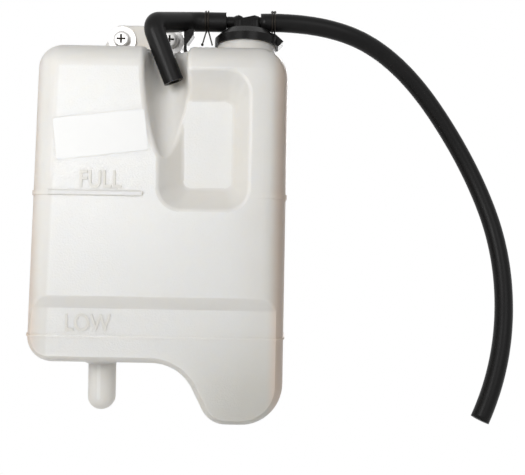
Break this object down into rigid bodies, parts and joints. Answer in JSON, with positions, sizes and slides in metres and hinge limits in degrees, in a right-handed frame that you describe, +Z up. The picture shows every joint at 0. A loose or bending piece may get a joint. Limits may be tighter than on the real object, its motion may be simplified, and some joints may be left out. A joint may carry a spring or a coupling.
{
  "type": "coolant expansion tank",
  "caption": "Milky plastic coolant expansion tank with a deep sump leg, push-on cap, overflow elbow, long rubber hose and a bolted fixing bracket.",
  "frame": {"origin": "root of the locating peg, on the peg's axis", "axes": "+X to the right seen from the front, +Y to the back, +Z up"},
  "size_m": [0.3385, 0.1013, 0.2866],
  "materials": {
    "tank_plastic": "satin, milky natural polyethylene",
    "cap_plastic": "satin black",
    "tube_plastic": "satin, milky",
    "hose_rubber": "satin black",
    "clamp_wire": "blackened spring wire",
    "bracket_steel": "zinc plated",
    "zinc_steel": "zinc plated"
  },
  "bodies": {
    "tank": {"tank_body": "tank_plastic", "mounting_bracket": "bracket_steel", "bracket_screws": "zinc_steel", "bracket_washers": "zinc_steel", "weld_nuts": "zinc_steel", "hose_clip": "cap_plastic"},
    "cap": {"filler_cap": "cap_plastic", "cap_seal": "hose_rubber", "dip_tube": "tube_plastic", "overflow_elbow": "hose_rubber", "radiator_hose": "hose_rubber", "elbow_clamp": "clamp_wire", "hose_clamp": "clamp_wire"}
  },
  "joints": [
    {"name": "cap_lift", "type": "slide", "parent": "tank", "child": "cap", "axis": [0, 0, 1], "range_m": [0, 0.26]}
  ]
}
